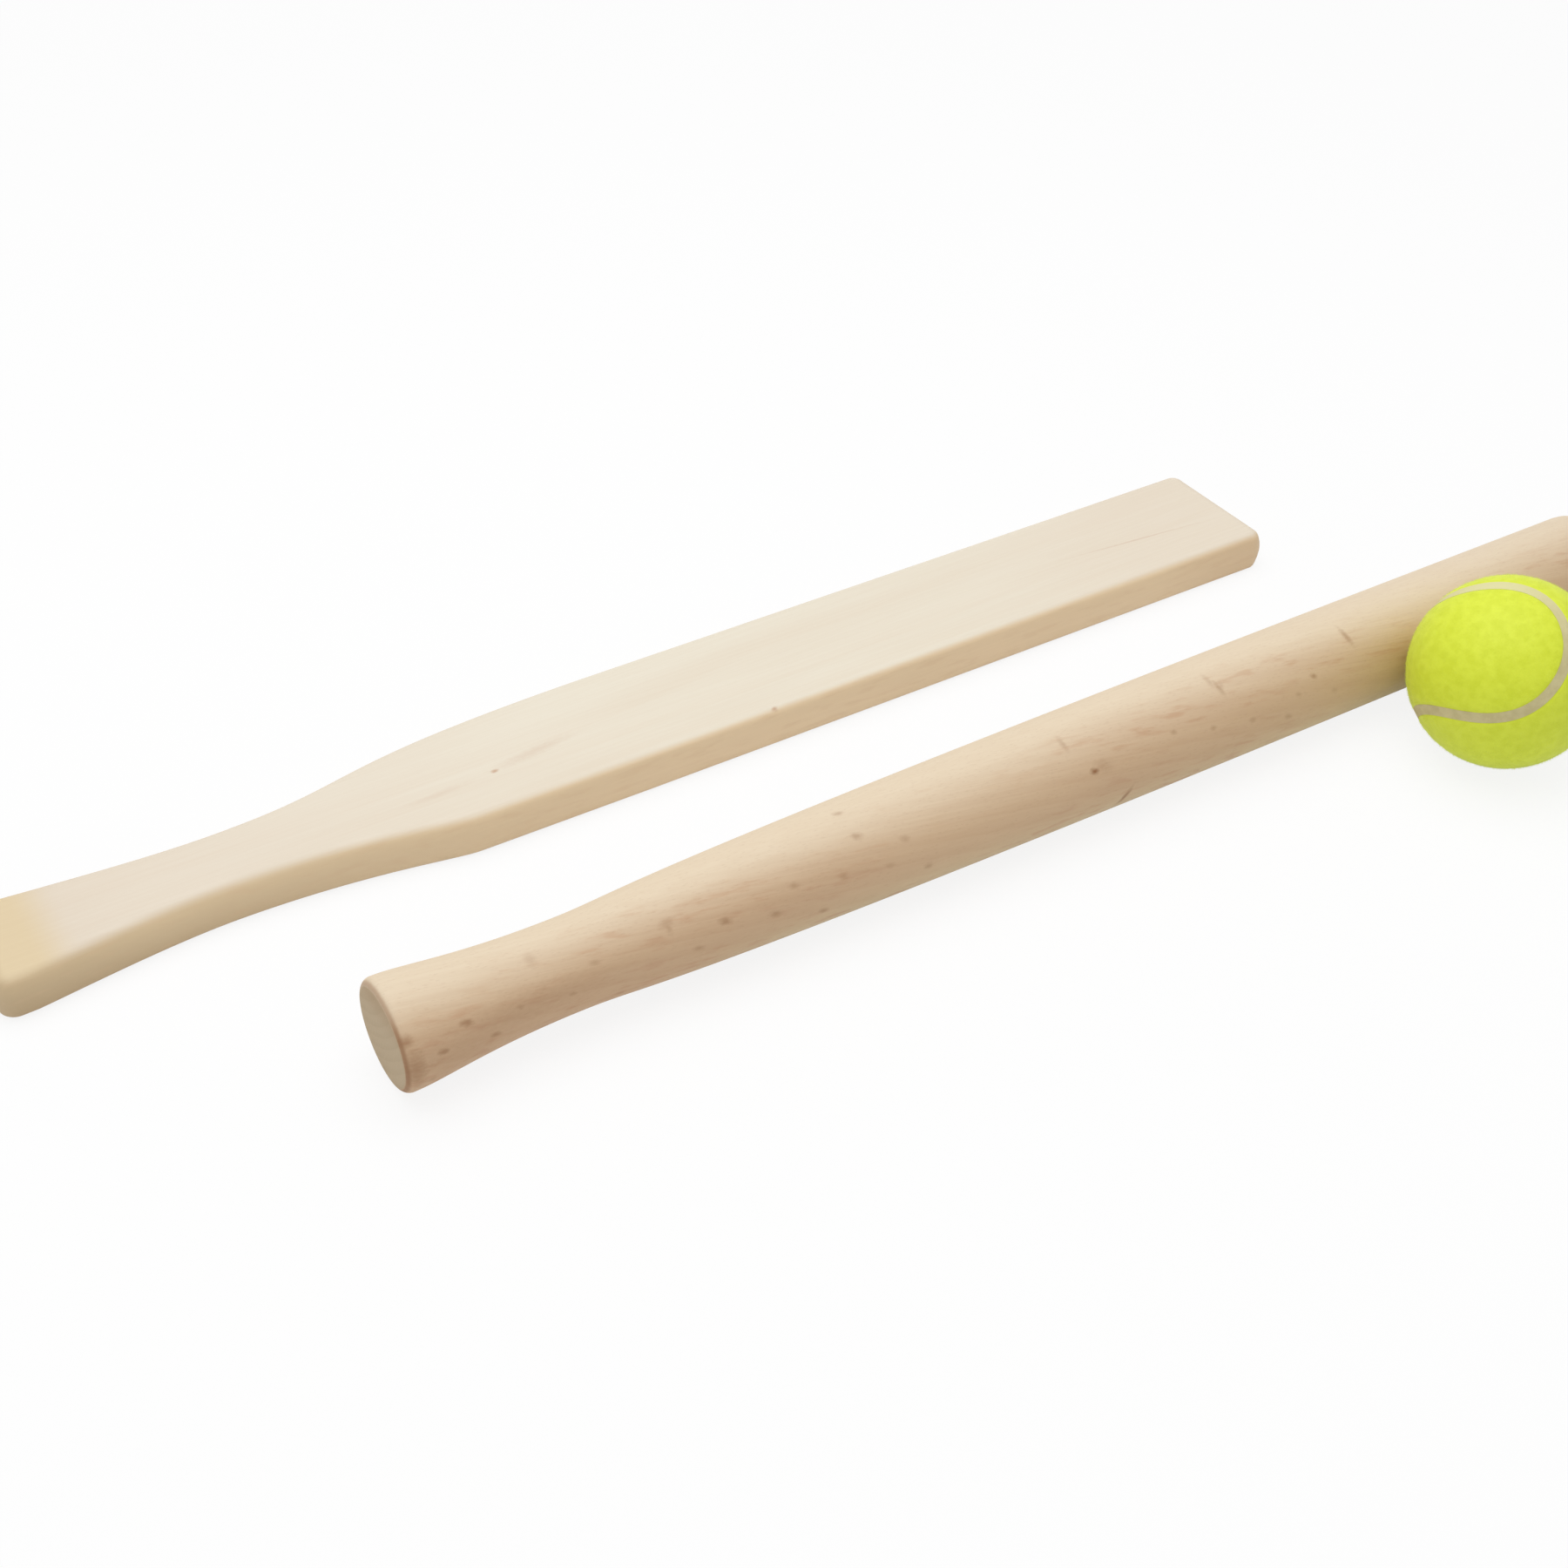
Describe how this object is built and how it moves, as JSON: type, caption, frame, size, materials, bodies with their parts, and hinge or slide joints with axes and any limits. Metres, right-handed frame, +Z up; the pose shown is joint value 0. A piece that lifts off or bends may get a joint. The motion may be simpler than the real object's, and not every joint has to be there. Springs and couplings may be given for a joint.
{
  "type": "rounders set",
  "caption": "Outdoor bat-and-ball game set: a flat wooden bat with a waisted handle, a turned round wooden bat with a flared butt, and a felt-covered rubber ball with a curved seam.",
  "frame": {"origin": "on the ground, at the middle of the box round the whole set", "axes": "+X along the flat bat from its butt to its tip, +Y from the ball towards the flat bat, +Z up"},
  "size_m": [0.5904, 0.2225, 0.067],
  "materials": {
    "pale_wood": "bare sanded pale wood with faint grain",
    "beech": "bare turned beech with short dark flecks",
    "core_rubber": "moulded matt rubber",
    "felt": "fuzzy yellow-green felt",
    "seam_cement": "matt grey-beige rubber cement"
  },
  "bodies": {
    "flat_bat": {"flat_bat": "pale_wood"},
    "round_bat": {"round_bat": "beech"},
    "ball": {"core_half_top": "core_rubber", "core_half_bottom": "core_rubber", "felt_panel_front": "felt", "felt_panel_back": "felt", "ball_seam": "seam_cement"}
  },
  "joints": [
    {"name": "round_bat_lift", "type": "slide", "parent": "flat_bat", "child": "round_bat", "axis": [0, 0.342, 0.9397], "range_m": [0, 0.15]},
    {"name": "ball_lift", "type": "slide", "parent": "flat_bat", "child": "ball", "axis": [0, 0, 1], "range_m": [0, 0.15]}
  ]
}
